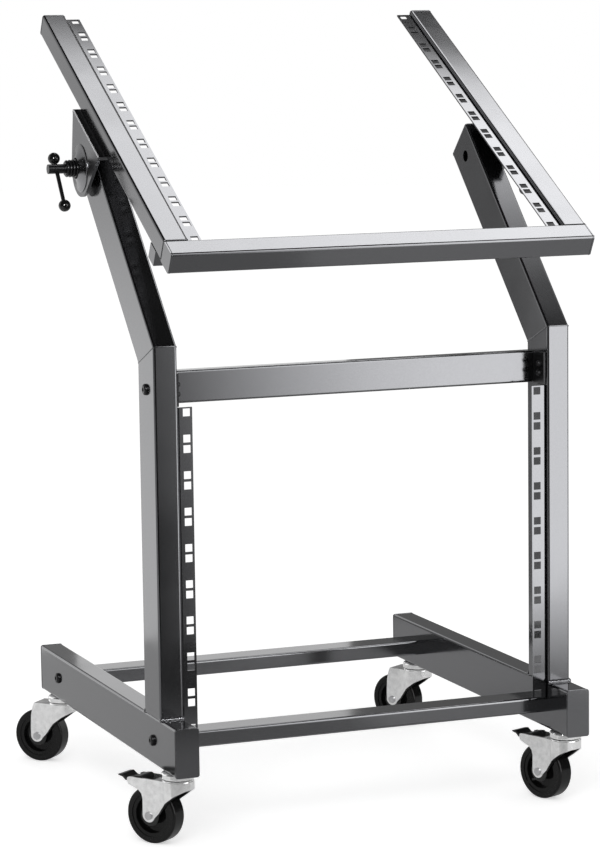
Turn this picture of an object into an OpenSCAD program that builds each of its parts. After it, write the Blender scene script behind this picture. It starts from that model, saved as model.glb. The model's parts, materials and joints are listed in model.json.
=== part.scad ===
// Nineteen-inch rack cart: a steel frame on four swivel casters with a tilting rack on top.
// X is across the rack, Y runs to the back and Z is up. The origin is on the floor, under the
// middle of the bounding box.

/* [Rack rails] */
// Height of one rack unit
rack_unit = 44.45; // [40:0.05:50]
// Rack units of the lower, upright rails
lower_units = 9; // [4:1:12]
// Rack units of the upper, tilting rails
upper_units = 12; // [8:1:14]
// Distance between the two columns of rack holes
hole_columns = 465.1; // [460:0.1:470]
// Clear opening between the two rails
rack_opening = 450.8; // [445:0.1:455]
// Side of a square rack hole
rack_hole = 9.5; // [7:0.1:10]
// Height of a unit's first hole above the unit's lower edge
hole_offset = 6.35; // [5.5:0.05:7]
// Thickness of the rail's sheet
rail_t = 2; // [1.5:0.1:3]
// Depth of the rail's side leg
rail_leg = 22; // [15:1:22]
// Outer bend radius of the rail
rail_bend = 3; // [2.5:0.1:5]
// How far the rail's face lies behind the front of its tube
rail_recess = 5; // [2:0.5:10]

/* [Tubes] */
// Clear width between the uprights
frame_clear = 490; // [489:0.5:510]
// Width of the frame tubes across the cart
tube_w = 30; // [25:1:40]
// Depth of the uprights, arms and feet
tube_d = 60; // [50:1:80]
// Wall of the tubes
tube_wall = 2; // [1.5:0.1:3]
// Outer corner radius of the tubes
tube_r = 3; // [2.5:0.1:5]
// Thickness of the plates that close the open tube ends
end_plate_t = 2; // [1.5:0.1:3]

/* [Base frame] */
// Length of a foot without its end plates
foot_len = 556; // [450:1:650]
// How far the foot reaches ahead of the upright
foot_ahead = 53; // [35:1:80]
// How far the lower rails reach down beside the foot
rail_drop = 20; // [10:1:40]
// Height of the uprights, from the foot to the middle of the mitre
upright_len = 442.2; // [438:1:560]
// Angle by which the arms lean back
arm_lean = 45; // [35:1:55]
// Length of the arms along their middle, from the mitre to the end plate
arm_len = 333; // [300:1:380]
// Distance from the end of an arm to the pivot
pivot_inset = 30; // [24:1:45]

/* [Crossbars] */
// Larger side of the crossbar tube
bar_d = 40; // [30:1:50]
// Smaller side of the crossbar tube
bar_t = 20; // [15:1:25]
// Gap between the lower rails and the upper crossbar
bar_gap = 1; // [0.5:0.5:10]
// Distance between the two lower crossbars
bar_span = 395; // [300:1:430]
// Thickness of the upper crossbar's end plates
bar_plate_t = 3; // [2:0.5:5]
// Gap between the upper crossbar and the frame screws that pass ahead of it
bar_screw_gap = 1; // [0.5:0.1:1.5]
// Diameter of the studs that hold the end plates
bar_stud_d = 5; // [4:0.5:6]
// Distance between the two studs of an end plate
bar_stud_pitch = 12; // [11:0.5:24]
// Distance of the studs behind the faces of the rails
bar_stud_inset = 10; // [7:0.5:12]
// Height of the domed nuts on the studs
bar_nut_h = 5.5; // [5:0.5:8]
// Length of the threaded plugs inside the lower crossbars
plug_len = 20; // [12:1:30]

/* [Tilting rack] */
// Tilt of the upper rack above level
tilt = 29.2; // [10:0.1:40]
// Height of the tilting frame's tubes
tilt_tube_h = 28; // [25:1:40]
// Gap between the front crossbar and the start of the rails
rail_start = 3; // [1:0.5:8]
// Distance from the start of the rails to the pivot
pivot_along = 287.5; // [260:0.5:300]
// Distance from the pivot up to the tilting tubes
pivot_drop = 51; // [47:0.5:60]
// How far the side tubes reach past the top of the rails
rail_rest = 1.6; // [1:0.2:20]
// Thickness of the pivot brackets
bracket_t = 4; // [3:0.5:6]
// Length of the pivot brackets' top edge
bracket_len = 116; // [90:1:140]
// Radius of the pivot brackets' round end
bracket_r = 36; // [30:1:42]
// How far the pivot brackets' flanges reach under the tubes
bracket_flange = 34; // [20:1:38]
// Length of the stop blocks along the tubes
stop_len = 20; // [12:1:30]
// Distance from the start of the rails to the stop blocks
stop_along = 16.5; // [5:0.5:40]
// Gap that the stop blocks leave above the arms
stop_gap = 0.5; // [0.3:0.1:2]

/* [Clamps] */
// Diameter of the clamp spindle
spindle_d = 12; // [10:0.5:16]
// Length of the spindle outside the collar
spindle_out = 22; // [18:1:30]
// Radius of the friction discs
disc_r = 24; // [18:0.5:30]
// Thickness of the friction discs
disc_t = 5; // [3:0.5:8]
// Largest radius of the ringed collar
collar_r = 12; // [10:0.5:16]
// Length of the ringed collar
collar_len = 20; // [14:1:26]
// Number of rings on the collar
collar_rings = 5; // [3:1:7]
// Diameter of the cross handle's bar
tommy_d = 5; // [4:0.5:6]
// Distance between the balls of the cross handle
tommy_len = 70; // [56:1:90]
// Radius of the balls
ball_r = 7.6; // [6:0.2:9]
// How far the bar hangs below its middle
tommy_shift = 19.5; // [0:0.5:19.5]
// Angle of the bar from upright
tommy_angle = 36; // [0:1:60]
// Radius of the bush in the arm
bush_r = 10; // [9:0.5:11]
// Length of the bush in the arm
bush_len = 16; // [10:1:20]
// Radius of the hole in the arm's inner wall
sight_hole_r = 7.5; // [6:0.5:8]

/* [Casters] */
// Height of a caster
caster_h = 91.5; // [88:0.5:120]
// Distance from the front end of a foot to the caster's swivel axis
caster_inset_front = 37; // [26:1:60]
// Distance from the rear end of a foot to the caster's swivel axis
caster_inset_rear = 52; // [26:1:80]
// Diameter of the wheels
wheel_d = 71; // [62:0.5:73]
// Width of the tyres
tyre_w = 22; // [16:0.5:22.4]
// Depth of the tyre
tyre_t = 8; // [6:0.5:11]
// Rounding of the tyre's shoulders
tyre_round = 3; // [2:0.5:5]
// Distance from the swivel axis to the wheel's axle
trail = 34; // [32:0.5:37]
// Width of the fork, outside its legs
fork_w = 30; // [30:0.5:36]
// Thickness of the fork's sheet
fork_t = 2.5; // [2:0.1:2.5]
// Radius of the fork's round crown
crown_r = 20; // [19:0.5:23]
// Gap between the crown and the fixed cup
crown_gap = 1; // [0.3:0.1:2]
// Radius of the fixed cup
cup_r = 20.5; // [18:0.5:24]
// Height of the fixed cup
cup_h = 8; // [6:0.5:9]
// Diameter of the swivel bolt
stem_d = 10; // [8:0.5:12]
// Diameter of the axle
axle_d = 8; // [6:0.5:9]
// Thickness of the guards between the fork and the wheel
guard_t = 0.8; // [0.6:0.1:1]
// Diameter of the brake pedal's pin
brake_pin_d = 5; // [4:0.5:6]
// Swivel of the front left caster away from straight back
swivel_front_left = 35.7; // [-90:0.1:90]
// Swivel of the front right caster
swivel_front_right = 22.1; // [-90:0.1:90]
// Swivel of the rear left caster
swivel_rear_left = 44.6; // [-90:0.1:90]
// Swivel of the rear right caster
swivel_rear_right = 31.9; // [-90:0.1:90]

/* [Screws and fits] */
// Diameter of the frame screws
screw_d = 8; // [6:0.5:10]
// Radius of the screws' button heads
head_r = 7; // [6:0.5:8]
// Height of the screws' button heads
head_h = 4; // [3:0.2:5]
// Gap between a moving piece and its neighbour
run_gap = 0.3; // [0.2:0.05:0.5]
// Radial clearance of a turning shaft
shaft_gap = 0.06; // [0.02:0.01:0.1]

/* [Hidden] */
$fn = 48;

far = 1000;
left = -1;
right = 1;
tube_x = (frame_clear + tube_w) / 2;
outer_x = frame_clear / 2 + tube_w;
wheel_r = wheel_d / 2;

// Heights above the floor
foot_bottom = caster_h;
foot_mid = foot_bottom + tube_d / 2;
foot_top = foot_bottom + tube_d;
rail_bottom = foot_top - rail_drop;
rail_top = rail_bottom + lower_units * rack_unit;
upper_bar_z = rail_top + bar_gap + bar_d / 2;
mitre_z = foot_top + upright_len;

// The tilting rack in its own frame: the pivot is its origin and Y runs up along the tubes
tilt_tube_mid = pivot_drop + tilt_tube_h / 2;
tilt_tube_top = pivot_drop + tilt_tube_h;
tilt_rail_face = tilt_tube_top - rail_recess;
tilt_rail_start = -pivot_along;
tilt_tube_start = tilt_rail_start - rail_start;
tilt_tube_len = rail_start + upper_units * rack_unit + rail_rest;

// Places along Y, first from the face of the lower rails and then from the origin
arm_reach = arm_len + end_plate_t - pivot_inset;
mid_behind_face = tube_d / 2 - rail_recess;
pivot_behind_face = mid_behind_face + arm_reach * sin(arm_lean);
front_edge = pivot_behind_face + (tilt_tube_start - tube_w + tube_r) * cos(tilt)
    - (tilt_tube_top - tube_r) * sin(tilt) - tube_r;
foot_start = -rail_recess - foot_ahead;
rear_caster = foot_start + foot_len + end_plate_t - caster_inset_rear;
rear_edge = rear_caster + tyre_round + max([for (a = [swivel_rear_left, swivel_rear_right])
    (trail + wheel_r - tyre_round) * cos(a) + (tyre_w / 2 - tyre_round) * abs(sin(a))]);
face_y = -(front_edge + rear_edge) / 2;
upright_y = face_y + mid_behind_face;
pivot_y = face_y + pivot_behind_face;
pivot_z = mitre_z + arm_reach * cos(arm_lean);
foot_y = face_y + foot_start;
caster_front_y = foot_y - end_plate_t + caster_inset_front;
caster_rear_y = face_y + rear_caster;

// Widths beside the arms, outwards from the arm's outer face
disc_x = outer_x + run_gap;
bracket_x = disc_x + disc_t;
collar_x = bracket_x + bracket_t + run_gap;
spindle_x = collar_x + collar_len;
spindle_end = spindle_x + spindle_out;
tommy_x = spindle_x + spindle_out / 2;
spindle_start = outer_x - bush_len;

// Caster heights, and its pieces' places across the fork
cup_z = caster_h - cup_h;
crown_z = cup_z - crown_gap;
crown_ring_h = 1.5;
fork_top = crown_z - crown_ring_h;
crown_bottom = fork_top - fork_t;
leg_inner = fork_w / 2 - fork_t;
hub_half = leg_inner - guard_t - run_gap;

metal = "dimgray";
plated = "silver";
plastic = [0.08, 0.08, 0.08];

// Cuts and helpers

module rounded(w, d, r) {
    square([w - 2 * r, d], center = true);
    square([w, d - 2 * r], center = true);
    for (x = [-1, 1], y = [-1, 1]) translate([x * (w / 2 - r), y * (d / 2 - r)]) circle(r);
}

// A rectangular tube along Z that starts at the origin
module tube(w, d, length) {
    linear_extrude(length) difference() {
        rounded(w, d, tube_r);
        rounded(w - 2 * tube_wall, d - 2 * tube_wall, tube_r - tube_wall);
    }
}

module rod_x(r, from, to) {
    translate([from, 0, 0]) rotate([0, 90, 0]) cylinder(r = r, h = to - from);
}

// Places a piece on the left or right of the cart from its drawing on the right
module on_side(side) {
    mirror([side < 0 ? 1 : 0, 0, 0]) children();
}

// The tilting rack's frame
module tilted() {
    translate([0, pivot_y, pivot_z]) rotate([tilt, 0, 0]) children();
}

// Everything above the plane of the mitre between an upright and its arm
module above_mitre() {
    translate([0, upright_y, mitre_z]) rotate([-arm_lean / 2, 0, 0])
        translate([-far, -far, 0]) cube([2 * far, 2 * far, far]);
}

module below_mitre() {
    translate([0, upright_y, mitre_z]) rotate([-arm_lean / 2, 0, 0])
        translate([-far, -far, -far]) cube([2 * far, 2 * far, far]);
}

// Base frame

module foot(side) {
    color(metal) on_side(side) difference() {
        translate([tube_x, foot_y, foot_mid]) rotate([-90, 0, 0]) tube(tube_w, tube_d, foot_len);
        for (y = [upright_y, upright_y + bar_span])
            translate([0, y, foot_mid]) rod_x(screw_d / 2 + 0.2, tube_x - tube_w, tube_x + tube_w);
        for (y = [caster_front_y, caster_rear_y])
            translate([tube_x, y, foot_bottom - 1]) cylinder(d = stem_d + 0.2, h = tube_wall + 2);
    }
}

module foot_end_plates() {
    color(metal) for (side = [left, right], y = [foot_y - end_plate_t, foot_y + foot_len])
        translate([side * tube_x, y, foot_mid]) rotate([-90, 0, 0])
            linear_extrude(end_plate_t) rounded(tube_w, tube_d, tube_r);
}

module upright(side) {
    color(metal) on_side(side) difference() {
        translate([tube_x, upright_y, foot_top]) tube(tube_w, tube_d, upright_len + tube_d);
        above_mitre();
        translate([0, upright_y, upper_bar_z])
            rod_x(screw_d / 2 + 0.2, tube_x - tube_w, tube_x + tube_w);
    }
}

module arm(side) {
    color(metal) on_side(side) difference() {
        translate([tube_x, upright_y, mitre_z]) rotate([-arm_lean, 0, 0])
            translate([0, 0, -tube_d]) tube(tube_w, tube_d, arm_len + tube_d);
        below_mitre();
        translate([0, pivot_y, pivot_z]) {
            rod_x(bush_r, tube_x, outer_x + 1);
            rod_x(sight_hole_r, frame_clear / 2 - 1, tube_x);
        }
    }
}

module arm_end_plates() {
    color(metal) for (side = [left, right])
        translate([side * tube_x, upright_y, mitre_z]) rotate([-arm_lean, 0, 0])
            translate([0, 0, arm_len]) linear_extrude(end_plate_t) rounded(tube_w, tube_d, tube_r);
}

module lower_crossbar(y) {
    color(metal) translate([-frame_clear / 2, y, foot_mid]) rotate([0, 90, 0])
        tube(bar_t, bar_d, frame_clear);
}

module crossbar_plugs() {
    color(plated) for (side = [left, right], y = [upright_y, upright_y + bar_span])
        on_side(side) translate([0, y, foot_mid]) difference() {
            translate([frame_clear / 2 - plug_len, 0, 0]) rotate([0, 90, 0]) linear_extrude(plug_len)
                rounded(bar_t - 2 * tube_wall, bar_d - 2 * tube_wall, tube_r - tube_wall);
            rod_x(screw_d / 2 + 0.05, frame_clear / 2 - plug_len - 1, frame_clear / 2 + 1);
        }
}

// The upper crossbar lies behind its frame screws, and its end plates reach from there to the front
upper_bar_front = upright_y + screw_d / 2 + bar_screw_gap;
upper_bar_y = upper_bar_front + bar_t / 2;
bar_plate_x = frame_clear / 2 - bar_plate_t;

module upper_crossbar() {
    color(metal) translate([-frame_clear / 2, upper_bar_y, upper_bar_z])
        rotate([0, 90, 0]) tube(bar_d, bar_t, frame_clear);
}

// The places of the studs that hold an end plate
module at_studs() {
    for (z = [-bar_stud_pitch / 2, bar_stud_pitch / 2])
        translate([0, face_y + bar_stud_inset, upper_bar_z + z]) children();
}

module crossbar_end_plates() {
    color(plastic) for (side = [left, right]) on_side(side) difference() {
        translate([bar_plate_x, face_y, upper_bar_z - bar_d / 2])
            cube([bar_plate_t, upper_bar_front - face_y, bar_d]);
        translate([0, upright_y, upper_bar_z])
            rod_x(screw_d / 2 + 0.05, bar_plate_x - 1, frame_clear / 2 + 1);
        at_studs() rod_x(bar_stud_d / 2 + 0.2, bar_plate_x - 1, frame_clear / 2 + 1);
    }
}

// Domed nuts, open to their studs and closed at the dome
nut_cover = 1.5;

module crossbar_nuts() {
    nut_r = bar_stud_d / 2 + 1.5;
    dome = 0.9 * nut_r;
    edge_h = bar_nut_h - dome;
    color(plastic) for (side = [left, right]) on_side(side) at_studs()
        translate([bar_plate_x, 0, 0]) rotate([0, -90, 0]) difference() {
            rotate_extrude() {
                square([nut_r, edge_h]);
                square([nut_r - dome, bar_nut_h]);
                translate([nut_r - dome, edge_h]) intersection() {
                    circle(dome);
                    square(dome);
                }
            }
            translate([0, 0, -1]) cylinder(d = bar_stud_d + 0.1, h = bar_nut_h - nut_cover + 1);
        }
}

// A button head screw with a hexagon socket that comes in from the outside and ends at x
module button_screw(x) {
    dome = head_h - 1;
    socket_r = 2.9;
    rod_x(screw_d / 2, x, outer_x);
    translate([outer_x, 0, 0]) rotate([0, 90, 0]) difference() {
        rotate_extrude() {
            square([head_r, head_h - dome]);
            square([head_r - dome, head_h]);
            translate([head_r - dome, head_h - dome]) intersection() {
                circle(dome);
                square(dome);
            }
        }
        translate([0, 0, head_h / 3]) cylinder(r = socket_r, h = head_h, $fn = 6);
    }
}

module frame_screws() {
    color(plastic) for (side = [left, right]) on_side(side) {
        for (y = [upright_y, upright_y + bar_span])
            translate([0, y, foot_mid]) button_screw(frame_clear / 2 - plug_len + 2);
        translate([0, upright_y, upper_bar_z]) button_screw(bar_plate_x + 0.3);
        at_studs() rod_x(bar_stud_d / 2, bar_plate_x - bar_nut_h + nut_cover + 0.3, frame_clear / 2);
    }
}

module pivot_bushes() {
    color(plated) for (side = [left, right]) on_side(side)
        translate([0, pivot_y, pivot_z]) difference() {
            rod_x(bush_r, spindle_start, outer_x);
            rod_x(spindle_d / 2 + shaft_gap, spindle_start - 1, outer_x + 1);
        }
}

// Rack rails

// Outline of the right rail: X across and Y back from the rail's face
module rail_outline() {
    edge = frame_clear / 2;
    translate([rack_opening / 2, 0]) square([edge - rail_bend - rack_opening / 2, rail_t]);
    translate([edge - rail_t, rail_bend]) square([rail_t, rail_leg - rail_bend]);
    intersection() {
        translate([edge - rail_bend, rail_bend]) difference() {
            circle(rail_bend);
            circle(rail_bend - rail_t);
        }
        translate([edge - rail_bend, 0]) square(rail_bend);
    }
}

// The right rail, upwards from its lower end, with each unit's middle hole left out
module rail(units) {
    difference() {
        linear_extrude(units * rack_unit) rail_outline();
        for (u = [0 : units - 1], z = [hole_offset, rack_unit - hole_offset])
            translate([(hole_columns - rack_hole) / 2, -1, u * rack_unit + z - rack_hole / 2])
                cube([rack_hole, rail_t + 2, rack_hole]);
    }
}

module rail_lower(side) {
    color(metal) on_side(side) translate([0, face_y, rail_bottom]) rail(lower_units);
}

module rail_upper(side) {
    color(metal) on_side(side) tilted() translate([0, tilt_rail_start, tilt_rail_face])
        rotate([-90, 0, 0]) rail(upper_units);
}

// Tilting frame

module tilt_tube(side) {
    color(metal) on_side(side) tilted() translate([tube_x, tilt_tube_start, tilt_tube_mid])
        rotate([-90, 0, 0]) tube(tube_w, tilt_tube_h, tilt_tube_len);
}

tilt_bar_half = outer_x - end_plate_t;

module tilt_crossbar() {
    color(metal) tilted() translate([-tilt_bar_half, tilt_tube_start - tube_w / 2, tilt_tube_mid])
        rotate([0, 90, 0]) tube(tilt_tube_h, tube_w, 2 * tilt_bar_half);
}

module tilt_end_plates() {
    color(metal) for (side = [left, right]) on_side(side) tilted() {
        translate([tilt_bar_half, tilt_tube_start - tube_w / 2, tilt_tube_mid])
            rotate([0, 90, 0]) linear_extrude(end_plate_t) rounded(tilt_tube_h, tube_w, tube_r);
        translate([tube_x, tilt_tube_start + tilt_tube_len, tilt_tube_mid])
            rotate([-90, 0, 0]) linear_extrude(end_plate_t) rounded(tube_w, tilt_tube_h, tube_r);
    }
}

// Outline of a pivot bracket: a straight top edge whose sides run tangent to the round end
module bracket_outline() {
    half = bracket_len / 2;
    top = pivot_drop;
    reach = sqrt(half * half + top * top);
    a = atan2(top, half) - acos(bracket_r / reach);
    touch = [bracket_r * cos(a), bracket_r * sin(a)];
    circle(bracket_r, $fn = 96);
    polygon([[-half, top], [-touch.x, touch.y], [0, 0], touch, [half, top]]);
}

module pivot_bracket(side) {
    color(metal) on_side(side) tilted() {
        difference() {
            translate([bracket_x, 0, 0]) rotate([90, 0, 90]) linear_extrude(bracket_t)
                bracket_outline();
            rod_x(spindle_d / 2 + shaft_gap, bracket_x - 1, bracket_x + bracket_t + 1);
        }
        translate([bracket_x + bracket_t - bracket_flange, -bracket_len / 2, pivot_drop - bracket_t])
            cube([bracket_flange, bracket_len, bracket_t]);
    }
}

stop_h = pivot_drop - tube_d / 2 - stop_gap;

module stop_blocks() {
    color(metal) for (side = [left, right]) on_side(side) tilted()
        translate([frame_clear / 2, tilt_rail_start + stop_along, pivot_drop - stop_h])
            cube([tube_w, stop_len, stop_h]);
}

module friction_discs() {
    color(plastic) for (side = [left, right]) on_side(side) tilted() difference() {
        rod_x(disc_r, disc_x, disc_x + disc_t, $fn = 96);
        rod_x(spindle_d / 2 + shaft_gap, disc_x - 1, disc_x + disc_t + 1);
    }
}

// Clamps

module clamp_spindle(side) {
    color(plastic) on_side(side) translate([0, pivot_y, pivot_z]) difference() {
        rod_x(spindle_d / 2, spindle_start, spindle_end);
        rotate([-tommy_angle, 0, 0]) translate([tommy_x, 0, -spindle_d])
            cylinder(r = tommy_d / 2 + shaft_gap, h = 2 * spindle_d);
    }
}

// Outline of half the collar: rings that grow towards the bracket, on a plain core
module collar_outline() {
    ring = collar_len / collar_rings;
    core = collar_r * 0.72;
    square([core, collar_len]);
    for (i = [0 : collar_rings - 1]) {
        r = collar_r - i * (collar_r - core) / (2 * collar_rings);
        translate([0, i * ring]) square([r - ring / 2.4, ring * 0.82]);
        translate([r - ring / 2.4, (i + 0.41) * ring]) circle(ring * 0.41);
    }
}

module clamp_collar(side) {
    color(plastic) on_side(side) translate([collar_x, pivot_y, pivot_z]) rotate([0, 90, 0])
        rotate_extrude() difference() {
            intersection() {
                collar_outline();
                square([2 * collar_r, collar_len]);
            }
            translate([-1, -1]) square([spindle_d / 2 + 1.05, collar_len + 2]);
        }
}

module on_tommy(side) {
    on_side(side) translate([tommy_x, pivot_y, pivot_z]) rotate([-tommy_angle, 0, 0])
        translate([0, 0, -tommy_shift]) children();
}

module tommy_bar(side) {
    color(plastic) on_tommy(side) translate([0, 0, -tommy_len / 2])
        cylinder(d = tommy_d, h = tommy_len);
}

module tommy_balls(side) {
    color(plastic) on_tommy(side) for (end = [-1, 1]) difference() {
        translate([0, 0, end * tommy_len / 2]) sphere(ball_r);
        translate([0, 0, -tommy_len / 2]) cylinder(d = tommy_d, h = tommy_len);
    }
}

// Casters. Each is drawn with its swivel axis on Z, the floor at zero and its wheel trailing to +Y

caster_places = [[left * tube_x, caster_front_y, swivel_front_left],
    [right * tube_x, caster_front_y, swivel_front_right],
    [left * tube_x, caster_rear_y, swivel_rear_left],
    [right * tube_x, caster_rear_y, swivel_rear_right]];

module at_caster(i) {
    place = caster_places[i];
    translate([place.x, place.y, 0]) rotate([0, 0, place.z]) children();
}

// The fixed bolt: its head lies under the fork's crown and its thread goes up into the foot
stem_head_h = 5;

module caster_stems() {
    color(plated) for (i = [0 : 3]) at_caster(i) translate([0, 0, crown_bottom - run_gap]) {
        translate([0, 0, -stem_head_h]) cylinder(r = 8, h = stem_head_h, $fn = 6);
        cylinder(d = stem_d, h = foot_bottom + 12 - crown_bottom + run_gap);
    }
}

module caster_cups() {
    lip = 2;
    color(plated) for (i = [0 : 3]) at_caster(i) difference() {
        rotate_extrude() translate([0, cup_z]) {
            square([cup_r - lip, cup_h]);
            translate([0, lip]) square([cup_r, cup_h - 2 * lip]);
            for (z = [lip, cup_h - lip]) translate([cup_r - lip, z]) circle(lip);
        }
        translate([0, 0, cup_z - 1]) cylinder(d = stem_d + 0.1, h = cup_h + 2);
    }
}

// Plan of the fork: two legs, and a flare that leads from them to the round crown
module fork_plan(inset) {
    r = crown_r - inset;
    w = fork_w / 2 - inset;
    flare = trail - 15;
    circle(r);
    polygon([[-w, 2 * trail], [-w, flare], [0.5 - r, 0], [r - 0.5, 0], [w, flare], [w, 2 * trail]]);
}

// The fork's slanting front edge, from the crown down to the leg, in a side view with X trailing
function front_edge_points(out) = [[-crown_r - 2, crown_z - 11 - out], [-17, crown_z - 12 - out],
    [-5.5 - out, crown_z - 18.5], [trail - 26 - out, wheel_r + 18.5], [trail - 21 - out, wheel_r + 12.5],
    [trail - 14.5 - out, wheel_r + 4]];

// Side view of a leg. The front forks have wings that carry the brake pedal
module leg_side(braked) {
    translate([trail, wheel_r + 1]) circle(r = 9);
    polygon(concat(front_edge_points(0), [[trail - 7, wheel_r - 3.6], [trail + 8.8, wheel_r + 1]],
        braked ? [[trail + 8.8, fork_top - 25], [trail + 10.5, fork_top - 19], [trail + 15, fork_top - 14.7],
            [trail + 23, fork_top - 12], [trail + 30, fork_top - 9], [trail + 32, fork_top - 5],
            [trail + 31, fork_top - 1], [trail + 28, fork_top]]
        : [[trail + 9, fork_top - 33], [trail + 8.2, fork_top - 17], [trail + 6, fork_top - 6],
            [trail + 3.5, fork_top]],
        [[-crown_r - 2, fork_top]]));
}

module fork(i) {
    braked = i < 2;
    color(plated) at_caster(i) difference() {
        union() {
            intersection() {
                difference() {
                    linear_extrude(fork_top) fork_plan(0);
                    translate([0, 0, -1]) linear_extrude(fork_top - fork_t + 1) fork_plan(fork_t);
                    // The top is open where the brake pedal works
                    if (braked) translate([-leg_inner, trail - 7, 0])
                        cube([2 * leg_inner, far, far]);
                }
                rotate([90, 0, 90]) translate([0, 0, -far / 2]) linear_extrude(far)
                    leg_side(braked);
            }
            translate([0, 0, fork_top - 1]) cylinder(r = crown_r - 1, h = crown_ring_h + 1);
        }
        translate([0, 0, crown_bottom - 1]) cylinder(d = stem_d + 2 * shaft_gap, h = cup_z);
        translate([0, trail, wheel_r]) rod_x((axle_d + 0.1) / 2, -fork_w, fork_w);
        // The pin's holes are blind, so the wings stay plain outside
        if (braked) translate([0, brake_y, brake_z])
            rod_x(brake_pin_d / 2 + shaft_gap, -brake_seat, brake_seat);
    }
}

// A riveted axle
module axle(i) {
    head = 1.5;
    color(plated) at_caster(i) translate([0, trail, wheel_r]) {
        rod_x(axle_d / 2, -fork_w / 2 - head, fork_w / 2 + head);
        for (x = [-fork_w / 2 - head, fork_w / 2]) rod_x(axle_d / 2 + 1, x, x + head);
    }
}

// Thin guards that line the legs and stand out a little ahead of them
module guards(i) {
    color(plastic) at_caster(i) for (side = [left, right]) on_side(side)
        translate([leg_inner - guard_t, 0, 0]) rotate([90, 0, 90]) linear_extrude(guard_t)
            difference() {
                union() {
                    translate([trail, wheel_r]) circle(r = 13);
                    polygon(concat([[-10, crown_bottom - run_gap], [-10, crown_z - 11]],
                        [for (i = [2 : 5]) front_edge_points(1)[i]],
                        [[trail - 12, wheel_r], [trail + 7, wheel_r + 4], [trail + 7, fork_top - 26],
                            [trail - 13, crown_bottom - run_gap]]));
                }
                translate([trail, wheel_r]) circle(d = axle_d + 0.1);
            }
}

module wheel(i) {
    core_r = wheel_r - tyre_t;
    rim_t = 5;
    web_t = 8;
    color(plastic) at_caster(i) translate([0, trail, wheel_r]) rotate([0, 90, 0]) difference() {
        rotate_extrude() {
            translate([0, -hub_half]) square([axle_d + 2, 2 * hub_half]);
            translate([0, -web_t / 2]) square([core_r, web_t]);
            translate([core_r - rim_t, 1 - tyre_w / 2]) square([rim_t, tyre_w - 2]);
        }
        translate([0, 0, -hub_half - 1]) cylinder(d = axle_d + 2 * shaft_gap, h = 2 * hub_half + 2);
    }
}

module tyre(i) {
    core_r = wheel_r - tyre_t;
    color("black") at_caster(i) translate([0, trail, wheel_r]) rotate([0, 90, 0])
        rotate_extrude($fn = 96) {
            translate([core_r, -tyre_w / 2]) square([tyre_t - tyre_round, tyre_w]);
            translate([core_r, -tyre_w / 2 + tyre_round])
                square([tyre_t, tyre_w - 2 * tyre_round]);
            for (side = [-1, 1]) translate([wheel_r - tyre_round, side * (tyre_w / 2 - tyre_round)])
                circle(tyre_round);
        }
}

// Brake pedals: a rocker with two treads on a pin between the fork's wings. Pressing its tail
// brings the lobe under the pin down towards the tyre
brake_y = trail + 18;
brake_z = fork_top - 7;
brake_seat = fork_w / 2 - 1;
pedal_w = 2 * leg_inner - 2 * run_gap;

module brake_pedal(i) {
    color(plastic) at_caster(i) translate([0, brake_y, brake_z]) {
        translate([-pedal_w / 2, 0, 0]) rotate([90, 0, 90]) linear_extrude(pedal_w) {
            circle(r = 5);
            polygon([[-5, -2], [2, -6.4], [5, -6.6], [6, -3], [13, 0.4], [18, 1.2], [22, 4.8],
                [28.5, 6.3], [28.8, 7.6], [22.8, 8.5], [20.4, 6.6], [17, 4.2], [13.5, 3.9], [9, 5.4],
                [5.2, 7.4], [1, 8.6], [-4.6, 9.2], [-6.6, 8.4], [-7.6, 6.2], [-7.4, 1.6]]);
        }
        rod_x(brake_pin_d / 2, run_gap - brake_seat, brake_seat - run_gap);
    }
}

foot(left);  // foot_left
foot(right);  // foot_right
foot_end_plates();
upright(left);  // upright_left
upright(right);  // upright_right
arm(left);  // arm_left
arm(right);  // arm_right
arm_end_plates();
lower_crossbar(upright_y);  // lower_crossbar_front
lower_crossbar(upright_y + bar_span);  // lower_crossbar_rear
crossbar_plugs();
upper_crossbar();
crossbar_end_plates();
rail_lower(left);  // rail_lower_left
rail_lower(right);  // rail_lower_right
frame_screws();
crossbar_nuts();
pivot_bushes();
caster_stems();
caster_cups();
tilt_tube(left);  // tilt_tube_left
tilt_tube(right);  // tilt_tube_right
tilt_crossbar();
tilt_end_plates();
rail_upper(left);  // rail_upper_left
rail_upper(right);  // rail_upper_right
pivot_bracket(left);  // pivot_bracket_left
pivot_bracket(right);  // pivot_bracket_right
stop_blocks();
friction_discs();
clamp_spindle(left);  // clamp_spindle_left
clamp_collar(left);  // clamp_collar_left
tommy_bar(left);  // tommy_bar_left
tommy_balls(left);  // tommy_balls_left
clamp_spindle(right);  // clamp_spindle_right
clamp_collar(right);  // clamp_collar_right
tommy_bar(right);  // tommy_bar_right
tommy_balls(right);  // tommy_balls_right
fork(0);  // fork_front_left
axle(0);  // axle_front_left
guards(0);  // guards_front_left
wheel(0);  // wheel_front_left
tyre(0);  // tyre_front_left
brake_pedal(0);  // brake_pedal_left
fork(1);  // fork_front_right
axle(1);  // axle_front_right
guards(1);  // guards_front_right
wheel(1);  // wheel_front_right
tyre(1);  // tyre_front_right
brake_pedal(1);  // brake_pedal_right
fork(2);  // fork_rear_left
axle(2);  // axle_rear_left
guards(2);  // guards_rear_left
wheel(2);  // wheel_rear_left
tyre(2);  // tyre_rear_left
fork(3);  // fork_rear_right
axle(3);  // axle_rear_right
guards(3);  // guards_rear_right
wheel(3);  // wheel_rear_right
tyre(3);  // tyre_rear_right
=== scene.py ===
"""Looks of the nineteen-inch rack cart: its paint, plating and plastics, its weld beads, ground seams and
pressed cones, and the pale studio that it stands in. All lengths are in metres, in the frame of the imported
model."""

import json
from math import cos, pi, radians, sin, tan

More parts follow.
